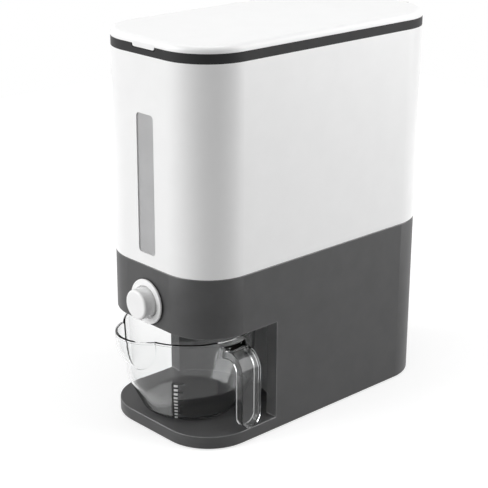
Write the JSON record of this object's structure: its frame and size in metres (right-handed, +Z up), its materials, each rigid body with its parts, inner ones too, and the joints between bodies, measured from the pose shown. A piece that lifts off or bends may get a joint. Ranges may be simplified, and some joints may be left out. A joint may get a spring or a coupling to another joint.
{
  "type": "rice dispenser with measuring jug",
  "caption": "Upright grain dispenser: lidded bin on a base with an open bay, a front push button that slides a shutter, and a clear measuring jug with a spout and hooked handle.",
  "frame": {"origin": "middle of the footprint on the floor, on the underside of the middle foot", "axes": "+Z up along the height, -Y out of the front with the button and the jug, +X towards the jug's handle"},
  "size_m": [0.17, 0.3641, 0.4064],
  "materials": {
    "white_plastic": "satin moulded ABS",
    "dark_plastic": "fine-grained charcoal ABS",
    "clear_plastic": "clear polystyrene, polished",
    "smoke_window": "translucent grey acrylic",
    "inner_plastic": "plain polypropylene",
    "grey_acetal": "smooth acetal",
    "soft_silicone": "soft translucent silicone",
    "dark_rubber": "matt rubber",
    "zinc_steel": "zinc-plated steel"
  },
  "bodies": {
    "dispenser": {"base_housing": "dark_plastic", "base_plate": "dark_plastic", "rubber_feet": "dark_rubber", "base_screws": "zinc_steel", "hopper_shell": "white_plastic", "window_pane": "smoke_window", "rim_collar": "dark_plastic", "hinge_pins": "zinc_steel", "hopper_funnel": "inner_plastic", "funnel_seal": "soft_silicone", "gate_housing": "grey_acetal", "gate_screws": "zinc_steel", "outlet_chute": "inner_plastic", "button_bezel": "white_plastic", "return_spring": "zinc_steel"},
    "lid": {"lid_cover": "white_plastic", "lid_liner": "inner_plastic", "lid_gasket": "soft_silicone"},
    "button": {"button_cap": "white_plastic", "push_rod": "grey_acetal", "cross_pin": "zinc_steel", "shutter_plate": "grey_acetal"},
    "jug": {"jug_body": "clear_plastic", "jug_handle": "clear_plastic"}
  },
  "joints": [
    {"name": "lid_hinge", "type": "hinge", "parent": "dispenser", "child": "lid", "pos_m": [0, 0.1704, 0.4], "axis": [-1, 0, 0], "range_deg": [0, 100]},
    {"name": "button_press", "type": "slide", "parent": "dispenser", "child": "button", "axis": [0, 1, 0], "range_m": [0, 0.012], "stiffness_N_per_m": 300, "springref_m": -0.004, "deforming": ["return_spring"]},
    {"name": "jug_pull", "type": "slide", "parent": "dispenser", "child": "jug", "axis": [0, -1, 0], "range_m": [0, 0.15]}
  ]
}
